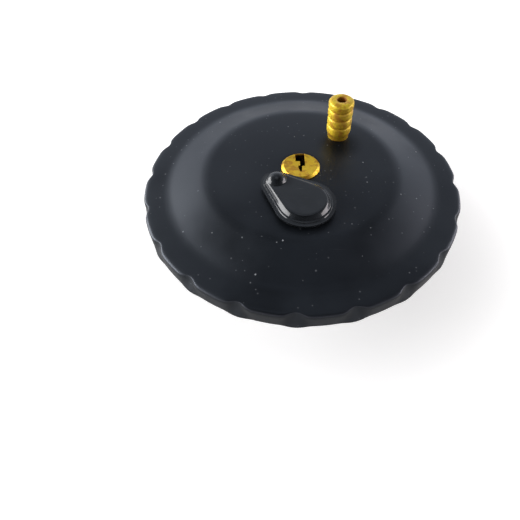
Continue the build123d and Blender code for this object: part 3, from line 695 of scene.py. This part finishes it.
def lock_brass(tree, place):
    """Brass of the lock plug and its wafers, with painted shade turning it black down in the
    keyway.
    """
    face_radius, shade_full_below, shade_none_above = 5.6 * MM, 30.8 * MM, 31.3 * MM
    rings = effect(tree, TURNING, place, Centre=(0.0, 0.0, 0.0), Pitch=LATHE_PITCH)
    inside = calculate(tree, "LESS_THAN", rings["Radius"], face_radius)
    height = parts_of(tree, place)[2]
    # Painted shade: the brass is laid near black below the face inside the keyway, where shade
    # falls
    low = remap(tree, height, shade_full_below, shade_none_above, 1.0, 0.0, smooth=True)
    patina_and_shade_mask = calculate(tree, "MULTIPLY", inside, low)
    return turned_brass(tree, place, rings, patina_and_shade_mask, (0.012, 0.008, 0.005))


def plated_steel(tree, place):
    """Bright zinc plating on pressed steel: cloudy, finely scratched, worn at its edges."""
    cloud = effect(tree, GRAIN, place, Scale=90.0, Detail=5.0, High=0.68)
    fine = effect(tree, GRAIN, place, Scale=1300.0)
    marks = effect(tree, SCRATCHES, place, Scale=60.0, Share=0.12)
    worn = effect(tree, EDGES, place, Radius=0.3 * MM, Grain=900.0)
    look = layered(
        tree, blend(tree, cloud["Mask"], (0.6, 0.6, 0.57), (0.47, 0.48, 0.49)),
        (marks["Mask"], 0.4, (0.8, 0.8, 0.79)), (worn["Mask"], 0.6, (0.82, 0.82, 0.8)),
    )
    sheen = remap(tree, cloud["Mask"], 0.0, 1.0, 0.27, 0.42)
    skin = bump(tree, fine["Height"], 0.01 * MM, 0.5, worn["Normal"])
    return {"Base Color": look, "Metallic": 1.0, "Roughness": sheen, "Normal": skin}


def zinc_casting(tree, place):
    """Dull zinc die casting: flow marks, a sandy skin and brighter edges."""
    flow = effect(tree, GRAIN, place, Scale=70.0, Detail=6.0, High=0.66)
    sand = effect(tree, GRAIN, place, Scale=1700.0, Detail=3.0)
    worn = effect(tree, EDGES, place, Radius=0.4 * MM, Grain=700.0)
    look = layered(
        tree, blend(tree, flow["Mask"], (0.42, 0.43, 0.45), (0.3, 0.31, 0.33)),
        (worn["Mask"], 0.7, (0.62, 0.63, 0.65)),
    )
    sheen = remap(tree, flow["Mask"], 0.0, 1.0, 0.42, 0.56)
    skin = bump(tree, sand["Height"], 0.04 * MM, 0.6, worn["Normal"])
    return {"Base Color": look, "Metallic": 1.0, "Roughness": sheen, "Normal": skin}


def spring_steel(tree, place):
    """Oiled spring steel: dark, finely scratched, with a cloudy coat of oil."""
    film_and_wall_shade = effect(tree, GRAIN, place, Scale=240.0, Detail=3.0)
    marks = effect(tree, SCRATCHES, place, Scale=110.0, Share=0.12)
    look = layered(
        tree, blend(tree, film_and_wall_shade["Mask"], (0.2, 0.2, 0.22), (0.11, 0.105, 0.1)),
        (marks["Mask"], 0.5, (0.45, 0.45, 0.46)),
    )
    sheen = remap(tree, film_and_wall_shade["Mask"], 0.0, 1.0, 0.24, 0.38)
    skin = bump(tree, film_and_wall_shade["Height"], 0.02 * MM, 0.4)
    return {"Base Color": look, "Metallic": 1.0, "Roughness": sheen, "Normal": skin}


def gasket_rubber(tree, place):
    """Matt moulded rubber: a fine dull skin with bloom and dust."""
    bloom = effect(tree, GRAIN, place, Scale=130.0, Detail=5.0, Low=0.4, High=0.68)
    fine = effect(tree, GRAIN, place, Scale=2100.0)
    dust = effect(tree, DUST, place, Scale=700.0, Share=0.1, Size=0.15)
    look = layered(
        tree, blend(tree, bloom["Mask"], (0.012, 0.012, 0.013), (0.03, 0.03, 0.031)),
        (dust["Mask"], 0.6, (0.4, 0.4, 0.4)),
    )
    sheen = remap(tree, bloom["Mask"], 0.0, 1.0, 0.55, 0.75)
    skin = bump(tree, fine["Height"], 0.03 * MM, 0.6)
    return {"Base Color": look, "Roughness": sheen, "Normal": skin}


FINISHES = {}


def finish(maker):
    """Give a finish, made at its first use from what its maker feeds the shader."""
    name = maker.__name__.replace("_", " ").capitalize()
    if name not in FINISHES:
        FINISHES[name], tree, place = start_material(name)
        shader = add_node(tree, "BsdfPrincipled", maker(tree, place))
        add_node(tree, "OutputMaterial", {"Surface": shader.outputs["BSDF"]})
    return FINISHES[name]


# ---- Pieces ----


def cover_profile():
    """Give the cover's section from the lock hole over crown and rim and back underneath."""
    slope = math.atan2(CROWN_TOP - RIM_TOP, SLOPE_FOOT - CROWN_EDGE)
    tilt = math.degrees(slope)
    crown_middle = (CROWN_EDGE - CROWN_ROUND * math.tan(slope / 2), CROWN_TOP - CROWN_ROUND)
    foot_middle = (SLOPE_FOOT + FOOT_ROUND * math.tan(slope / 2), RIM_TOP + FOOT_ROUND)
    rim_sweep = 50.3
    rim_middle = (COVER_RADIUS + 0.1 * MM - RIM_ROUND * 0.826, RIM_TOP - RIM_ROUND)
    inner = COVER_RADIUS - COVER_SHEET
    crown_under = CROWN_TOP - COVER_SHEET
    rim_under = RIM_TOP - COVER_SHEET
    rim_flat, rim_flat_under = 46.8 * MM, 46.2 * MM
    edge = 0.12 * MM
    bend = 0.9 * MM
    outside = [(LOCK_HOLE, crown_under + edge), (LOCK_HOLE, CROWN_TOP - edge)]
    outside += [(LOCK_HOLE + edge, CROWN_TOP)]
    outside += [(radius * MM, CROWN_TOP) for radius in CROWN_RINGS]
    outside += arc(crown_middle, CROWN_ROUND, 0.0, tilt, 5)
    outside += between(outside[-1], arc(foot_middle, -FOOT_ROUND, tilt, 0.0, 4)[0], 4)
    outside += arc(foot_middle, -FOOT_ROUND, tilt, 0.0, 4)
    outside += [(rim_flat, RIM_TOP)]
    outside += arc(rim_middle, RIM_ROUND, 0.0, rim_sweep, 5)
    outside += [(COVER_RADIUS, height * MM) for height in SKIRT_LEVELS]
    lip = [(COVER_RADIUS - edge, SKIRT_FOOT), (inner + edge, SKIRT_FOOT)]
    inside = [(inner, height * MM) for height in SKIRT_LEVELS_INSIDE]
    inside += arc((inner - bend, rim_under - bend), bend, 90.0, 0.0, 3)[1:]
    inside += [(rim_flat_under, rim_under)]
    inside += arc(foot_middle, -FOOT_ROUND - COVER_SHEET, 0.0, tilt, 4)
    under_slope = arc(crown_middle, CROWN_ROUND - COVER_SHEET, tilt, 0.0, 5)
    inside += between(inside[-1], under_slope[0], 3)
    inside += under_slope
    inside += [(radius * MM, crown_under) for radius in reversed(CROWN_RINGS)]
    inside += [(LOCK_HOLE + edge, crown_under)]
    return outside + lip + inside


def flute_limit(settings, offset, height, inset):
    """Give the skirt's radius at an angle off a flute's middle and at a height."""
    depth = min(1.0, max(0.0, (RIM_TOP - height) / (RIM_TOP - SKIRT_FOOT)))
    shift = -settings.flute_dent + depth * (settings.flute_dent + settings.flute_bulge)
    width = settings.flute_top_width
    width += depth * (settings.flute_foot_width - settings.flute_top_width)
    across = abs(math.radians(offset) * COVER_RADIUS) / (width / 2)
    shape = math.cos(min(1.0, across) * math.pi / 2) ** 1.3
    return COVER_RADIUS - inset + shift * shape


def press_flutes(piece, profile):
    """Push the rim and skirt in and out at each flute, ring by ring."""
    settings = bpy.context.scene.filler_cover
    inner_wall = COVER_RADIUS - COVER_SHEET
    reach = inner_wall - settings.flute_dent - 0.3 * MM
    same_level, same_radius, same_angle = 0.01 * MM, 0.02 * MM, 0.2
    wall_slack, least_move = 0.15 * MM, 0.002 * MM
    for radius, height in profile:
        if radius < reach or height > RIM_TOP + same_level:
            continue
        inner = radius <= inner_wall + 1e-6 and height < RIM_TOP - 1.1 * MM
        inset = COVER_SHEET if inner else 0.0
        free = COVER_RADIUS - inset
        for step in range(6):
            limit = flute_limit(settings, step, height, inset)
            on_wall = radius > free - wall_slack
            target = radius + limit - free if on_wall else min(radius, limit)
            if abs(target - radius) < least_move:
                continue

            def on_ring(co):
                angle = math.degrees(math.atan2(co.y, co.x)) - FLUTE_START
                offset = abs((angle + FLUTE_PITCH / 2) % FLUTE_PITCH - FLUTE_PITCH / 2)
                return (
                    abs(co.z - height) < same_level
                    and abs(math.hypot(co.x, co.y) - radius) < same_radius
                    and abs(offset - step) < same_angle
                )

            select_where(piece, on_ring)
            scale_about(target / radius, (0.0, 0.0, height))


class FILLER_OT_cover(Operator):
    """Press the fluted, domed cover and paint it"""

    bl_idname = "filler.cover"
    bl_label = "Pressed cover"

    def execute(self, context):
        profile = cover_profile()
        turn = math.radians(FLUTE_START - int(FLUTE_START))
        eased_from, eased_above = 46.9 * MM, 21.3 * MM
        piece = turned("pressed_cover", profile, 360, turn=turn)
        press_flutes(piece, profile)
        select_where(
            piece, lambda co: math.hypot(co.x, co.y) > eased_from and co.z > eased_above
        )
        bpy.ops.mesh.vertices_smooth(factor=0.5, repeat=4)
        tidy_mesh(piece)
        use_modifier(piece, "SUBSURF", levels=1, render_levels=1)
        dress(piece, "cap", cover_paint, "cover", 40.0)
        return {"FINISHED"}


def pear_ring(piece, lobe_factor, tail_factor, height):
    """Scale the selected ring's lobe and tail, each about its own centre."""
    split = 5.2 * MM
    ring = selected_places(piece)

    def in_tail(co):
        return (Vector((co.x, co.y, 0.0)) - FLAP_PIVOT).dot(FLAP_AXIS) < split

    select_where(piece, lambda co: not in_tail(co), ring)
    scale_about(lobe_factor, (FLAP_LOBE.x, FLAP_LOBE.y, height))
    select_where(piece, in_tail, ring)
    scale_about(tail_factor, (FLAP_PIVOT.x, FLAP_PIVOT.y, height))
    select_where(piece, lambda co: True, ring)


class FILLER_OT_flap(Operator):
    """Press the pear-shaped dust flap and paint it"""

    bl_idname = "filler.flap"
    bl_label = "Dust flap"

    def execute(self, context):
        settings = context.scene.filler_flap
        lobe_radius, tail_radius, height = (value * MM for value in FLAP_RINGS[0])
        piece = start_ring("dust_flap_lid", lobe_radius, height, 144, FLAP_LOBE)
        tail_spread = math.cos(math.radians(69.0))

        def towards_pivot(co):
            outward = (Vector((co.x, co.y, 0.0)) - FLAP_LOBE).normalized()
            return outward.dot(-FLAP_AXIS) > tail_spread

        select_where(piece, towards_pivot)
        scale_about(tail_radius / lobe_radius, (FLAP_LOBE.x, FLAP_LOBE.y, height))
        bpy.ops.transform.translate(value=tuple(-FLAP_AXIS * FLAP_REACH))
        bpy.ops.mesh.select_all(action="SELECT")
        for values in FLAP_RINGS[1:]:
            next_lobe, next_tail, next_height = (value * MM for value in values)
            extrude_up(next_height - height)
            pear_ring(piece, next_lobe / lobe_radius, next_tail / tail_radius, next_height)
            lobe_radius, tail_radius, height = next_lobe, next_tail, next_height
        bpy.ops.mesh.edge_face_add()
        divide_long_edges(piece, 5.0 * MM, 16)
        tidy_mesh(piece)
        use_modifier(piece, "SOLIDIFY", thickness=settings.sheet, offset=-1.0, use_even_offset=True)
        use_modifier(
            piece, "BEVEL", width=0.1 * MM, segments=3, limit_method="ANGLE",
            angle_limit=math.radians(60.0),
        )
        dress(piece, "flap", flap_paint, "dust_flap", 30.0)
        return {"FINISHED"}


class FILLER_OT_flap_rivet(Operator):
    """Turn the flap's domed rivet with its shank and peened tail"""

    bl_idname = "filler.flap_rivet"
    bl_label = "Flap rivet"

    def execute(self, context):
        height = context.scene.filler_flap.rivet_height
        head_radius = 3.0 * MM
        shank = 1.6 * MM
        under = CROWN_TOP - COVER_SHEET
        tail_radius, tail_ball, tail_middle = 2.55 * MM, 2.41 * MM, under + 1.51 * MM
        edge = 0.1 * MM
        ball = (head_radius**2 + height**2) / (2 * height)
        sweep = math.degrees(math.asin(head_radius / ball))
        middle = (0.0, FLAP_TOP + height - ball)
        profile = arc((0.0, tail_middle), -tail_ball, 3.0, 70.0, 6)
        profile = [(abs(radius), level) for radius, level in profile if level < under]
        profile += [(tail_radius, under), (shank, under), (shank, FLAP_TOP)]
        profile += [(head_radius - edge, FLAP_TOP), (head_radius, FLAP_TOP + 0.8 * edge)]
        profile += arc(middle, ball, sweep - 3.5, 4.0, 9)
        piece = turned("flap_rivet_dome", profile, 64, FLAP_PIVOT.xy, ends="filled")
        tidy_mesh(piece)
        dress(piece, "cap", flap_paint, "flap_rivet", 40.0)
        return {"FINISHED"}


def barb_profile(settings):
    """Give the barb's section: pipe and flange under the cover, neck, beads, tip and bore."""
    bead, groove = settings.bead_radius, settings.groove_radius
    under = CROWN_TOP - COVER_SHEET
    bore, pipe, flange = 1.5 * MM, 3.0 * MM, 4.6 * MM
    pipe_end, flange_under = under - 4.0 * MM, under - 1.5 * MM
    edge, bore_round, bore_depth = 0.1 * MM, 0.3 * MM, 6.0 * MM
    foot = CROWN_TOP + 1.8 * MM
    count = 4
    pitch = (BARB_TOP - foot) / count
    tip, crown = 0.9 * MM, 1.4 * MM
    swells = [
        (share, groove + (bead - groove) * (1 - share ** 3) ** 0.42) for share in BEAD_SHARES
    ]
    profile = [(bore, pipe_end), (pipe, pipe_end), (pipe, flange_under)]
    profile += [(flange - edge, flange_under), (flange, flange_under + edge)]
    profile += [(flange, under - edge), (groove, under), (groove, foot - edge)]
    for index in range(count):
        low = foot + index * pitch
        middle = low + pitch / 2
        profile += [(radius, middle - share * pitch / 2) for share, radius in swells[::-1]]
        if index < count - 1:
            profile += [(radius, middle + share * pitch / 2) for share, radius in swells[1:]]
            profile += [(groove, low + pitch)]
    for radius, height in arc((0.0, BARB_TOP - tip), tip, 90.0, 0.0, 8):
        profile.append((bead - crown + radius * crown / tip, height))
    profile += arc((bore + bore_round, BARB_TOP - bore_round), bore_round, 0.0, -90.0, 4)
    return profile + [(bore, BARB_TOP - bore_depth)]


class FILLER_OT_hose_barb(Operator):
    """Turn the brass hose barb with its rounded beads and bore"""

    bl_idname = "filler.hose_barb"
    bl_label = "Hose barb"

    def execute(self, context):
        profile = barb_profile(context.scene.filler_brass)
        piece = turned("hose_barb_spigot", profile, 72, BARB_CENTRE.xy)
        tidy_mesh(piece)
        dress(piece, "cap", barb_brass, "hose_barb", 50.0)
        return {"FINISHED"}


class FILLER_OT_lock(Operator):
    """Finish the brass lock plug and its wafers"""

    bl_idname = "filler.lock"
    bl_label = "Brass lock"

    def execute(self, context):
        wafers = [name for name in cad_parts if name.startswith("wafer_")]
        dress_nodes(["lock_plug", *wafers], lock_brass)
        return {"FINISHED"}


class FILLER_OT_plated_parts(Operator):
    """Finish the zinc-plated pan, bridge, bolt, bolt guide, keeper plate, cup, cam screw, flap bush
    and rivets
    """

    bl_idname = "filler.plated_parts"
    bl_label = "Plated parts"

    def execute(self, context):
        rivets = [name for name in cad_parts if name.startswith("housing_rivet_")]
        names = [
            "inner_pan", "bayonet_bridge", "lock_bolt", "bolt_guide", "keeper_plate",
            "spring_cup", "cam_screw", "flap_bush", *rivets,
        ]
        dress_nodes(names, plated_steel)
        return {"FINISHED"}


class FILLER_OT_cast_parts(Operator):
    """Finish the die-cast lock housing and drive cam"""

    bl_idname = "filler.cast_parts"
    bl_label = "Cast parts"

    def execute(self, context):
        dress_nodes(["lock_housing", "drive_cam"], zinc_casting)
        return {"FINISHED"}


class FILLER_OT_bayonet_spring(Operator):
    """Wind the bayonet spring, which shortens as the bridge is drawn down"""

    bl_idname = "filler.bayonet_spring"
    bl_label = "Bayonet spring"

    def execute(self, context):
        low, high = (Vector(corner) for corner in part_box("bayonet_spring"))
        wire = SPRING_WIRE / 2
        start = Vector((high.x - wire, 0.0, low.z + wire))
        piece = start_ring("bayonet_coil_spring", wire, start.z, 20, (start.x, 0.0))
        bpy.ops.transform.rotate(
            value=math.radians(90), orient_axis="X", center_override=tuple(start)
        )
        use_modifier(
            piece, "SCREW", angle=2 * math.pi * SPRING_TURNS, steps=110, render_steps=110,
            screw_offset=high.z - low.z - SPRING_WIRE, use_smooth_shade=True,
        )
        bpy.ops.object.mode_set(mode="EDIT")
        close_ends()
        tidy_mesh(piece)
        dress(piece, "cap", spring_steel, "bayonet_spring", 50.0)
        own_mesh(piece)
        return {"FINISHED"}


class FILLER_OT_spring_parts(Operator):
    """Finish the retaining ring and flap washer"""

    bl_idname = "filler.spring_parts"
    bl_label = "Spring parts"

    def execute(self, context):
        dress_nodes(["retaining_ring", "flap_washer"], spring_steel)
        return {"FINISHED"}


class FILLER_OT_gasket(Operator):
    """Finish the moulded rubber gasket"""

    bl_idname = "filler.gasket"
    bl_label = "Gasket"

    def execute(self, context):
        dress_nodes(["gasket"], gasket_rubber)
        return {"FINISHED"}


# ---- Studio ----


def seen_share(tree, mirrored):
    """Give 1 for rays from the camera or through glass, a share for gloss and 0 for the rest."""
    path = add_node(tree, "LightPath").outputs
    direct = calculate(tree, "MAXIMUM", path["Is Camera Ray"], path["Is Transmission Ray"])
    gloss = calculate(tree, "MULTIPLY", path["Is Glossy Ray"], mirrored)
    return calculate(tree, "MAXIMUM", direct, gloss)


def lay_floor():
    """Lay the plain pale floor, which keeps the cap's shadow and has a painted shadow round the cap
    where its glow is dimmed.
    """
    deselect_all()
    bpy.ops.mesh.primitive_circle_add(
        vertices=96, radius=6.0, fill_type="NGON", location=(0.0, 0.0, -0.02 * MM)
    )
    floor = bpy.context.object
    floor.name = "studio_floor"
    bpy.ops.object.transform_apply(location=True, rotation=True, scale=True)
    material, tree, place = start_material("Pale studio floor")
    grain = effect(tree, GRAIN, place, Scale=30.0, Detail=3.0, Low=0.3, High=0.7)
    paper = blend(tree, grain["Mask"], (0.9, 0.9, 0.905), (0.92, 0.92, 0.92))
    matt = add_node(tree, "BsdfDiffuse", {"Color": paper}).outputs[0]
    away = add_node(tree, "VectorMath", {0: place}, operation="LENGTH").outputs["Value"]
    # Painted shadow: the floor glows less near the cap, darkening it round the cap
    level = remap(tree, away, 48.0 * MM, 120.0 * MM, 0.44, 1.0, smooth=True)
    strength = calculate(tree, "MULTIPLY", seen_share(tree, 0.15), level)
    glow = {"Color": (1.0, 1.0, 1.0), "Strength": strength}
    lit = add_node(tree, "Emission", glow).outputs[0]
    both = add_node(tree, "AddShader", {0: matt, 1: lit}).outputs[0]
    add_node(tree, "OutputMaterial", {"Surface": both})
    floor.data.materials.append(material)


def light_world(settings):
    """Light the world: white near the floor, darker overhead and in front."""
    world = bpy.data.worlds.new("Pale studio")
    bpy.context.scene.world = world
    world.use_nodes = True
    tree = world.node_tree
    tree.nodes.clear()
    way = parts_of(tree, add_node(tree, "TexCoord").outputs["Generated"])
    walls = add_node(tree, "ValToRGB", {"Fac": way[2]})
    shades = (
        (0.0, settings.horizon * 1.2), (0.3, settings.horizon * 0.97),
        (0.57, settings.horizon * 0.5), (0.77, settings.horizon * 0.23),
        (0.86, settings.ceiling * 0.08), (0.95, settings.ceiling * 0.14),
        (0.99, settings.ceiling),
    )
    ramp = walls.color_ramp.elements
    while len(ramp) < len(shades):
        ramp.new(0.5)
    for stop, (level, shade) in zip(ramp, shades):
        stop.position = level
        stop.color = (shade, shade, shade, 1.0)
    front = remap(tree, way[1], -0.75, 0.1, 0.2, 1.0, smooth=True)
    lit = calculate(tree, "MULTIPLY", walls.outputs["Color"], front)
    strength = remap(tree, seen_share(tree, 0.0), 0.0, 1.0, lit, 1.0)
    gloss = add_node(tree, "LightPath").outputs["Is Glossy Ray"]
    cool = blend(tree, gloss, (1.0, 1.0, 1.0), (0.9, 0.955, 1.08))
    background = add_node(tree, "Background", {"Color": cool, "Strength": strength})
    add_node(tree, "OutputWorld", {"Surface": background.outputs[0]})


def hang_softbox(name, place, width, height, radiance, tint=(1.0, 1.0, 1.0)):
    """Hang a softbox that faces the cap, as bright as its radiance says."""
    data = bpy.data.lights.new(name, "AREA")
    data.shape = "RECTANGLE"
    data.size = width
    data.size_y = height
    data.energy = radiance * math.pi * width * height
    data.color = tint
    lamp = bpy.data.objects.new(name, data)
    bpy.context.scene.collection.objects.link(lamp)
    lamp.location = place
    lamp.rotation_euler = (-Vector(place)).to_track_quat("-Z", "Y").to_euler()


def set_camera():
    """Set the camera up, above and in front of the cap."""
    data = bpy.data.cameras.new("studio_camera")
    data.sensor_width = CAMERA_SENSOR
    data.lens = CAMERA_LENS
    data.shift_x = SHIFT_RIGHT / PICTURE_SIDE
    data.shift_y = SHIFT_UP / PICTURE_SIDE
    data.clip_start = 0.005
    data.clip_end = 50.0
    camera = bpy.data.objects.new("studio_camera", data)
    bpy.context.scene.collection.objects.link(camera)
    forward = CAMERA_FORWARD.normalized()
    up = CAMERA_RIGHT.cross(forward).normalized()
    right = forward.cross(up).normalized()
    turn = Matrix((right, up, -forward)).transposed().to_4x4()
    camera.matrix_world = Matrix.Translation(CAMERA_PLACE * MM) @ turn
    bpy.context.scene.camera = camera


class FILLER_OT_studio(Operator):
    """Lay the floor, light the studio and set the camera"""

    bl_idname = "filler.studio"
    bl_label = "Studio"

    def execute(self, context):
        settings = context.scene.filler_studio
        context.scene.view_settings.view_transform = "Standard"
        lay_floor()
        light_world(settings)
        hang_softbox("left_softbox", (-0.58, 0.26, 0.34), 0.75, 0.34, settings.softbox * 0.6)
        hang_softbox("right_softbox", (0.56, 0.18, 0.3), 0.5, 0.34, settings.softbox * 0.12)
        hang_softbox("left_strip", (-0.56, 0.06, 0.19), 0.62, 0.28, settings.strip * 0.7)
        hang_softbox(
            "right_strip", (0.56, 0.02, 0.17), 0.5, 0.18, settings.strip * 0.5, (1.0, 0.92, 0.94)
        )
        set_camera()
        return {"FINISHED"}


class FILLER_PT_panel(Panel):
    """Lists the settings and pieces of the filler cap"""

    bl_idname = "FILLER_PT_panel"
    bl_label = "Filler cap"
    bl_space_type = "VIEW_3D"
    bl_region_type = "UI"
    bl_category = "Filler cap"

    def draw(self, context):
        layout = self.layout
        for group_name in SETTINGS:
            group = getattr(context.scene, group_name)
            box = layout.box()
            for name in group.__annotations__:
                box.prop(group, name)
        for operator in OPERATORS:
            layout.operator(operator.bl_idname)


SETTINGS = {
    "filler_cover": CoverSettings,
    "filler_flap": FlapSettings,
    "filler_brass": BrassSettings,
    "filler_studio": StudioSettings,
}
OPERATORS = (
    FILLER_OT_cover,
    FILLER_OT_flap,
    FILLER_OT_flap_rivet,
    FILLER_OT_hose_barb,
    FILLER_OT_lock,
    FILLER_OT_plated_parts,
    FILLER_OT_cast_parts,
    FILLER_OT_bayonet_spring,
    FILLER_OT_spring_parts,
    FILLER_OT_gasket,
    FILLER_OT_studio,
)


def register():
    """Register the settings, the operators and the panel."""
    for name, group in SETTINGS.items():
        bpy.utils.register_class(group)
        setattr(bpy.types.Scene, name, PointerProperty(type=group))
    for operator in OPERATORS:
        bpy.utils.register_class(operator)
    bpy.utils.register_class(FILLER_PT_panel)


def unregister():
    """Take the panel, the operators and the settings away again."""
    bpy.utils.unregister_class(FILLER_PT_panel)
    for operator in reversed(OPERATORS):
        bpy.utils.unregister_class(operator)
    for name, group in reversed(SETTINGS.items()):
        delattr(bpy.types.Scene, name)
        bpy.utils.unregister_class(group)


def main():
    """Build every piece in order."""
    register()
    for operator in OPERATORS:
        area, name = operator.bl_idname.split(".")
        if getattr(getattr(bpy.ops, area), name)() != {"FINISHED"}:
            raise RuntimeError(f"{operator.bl_label} wasn't finished")


if __name__ == "__main__":
    main()
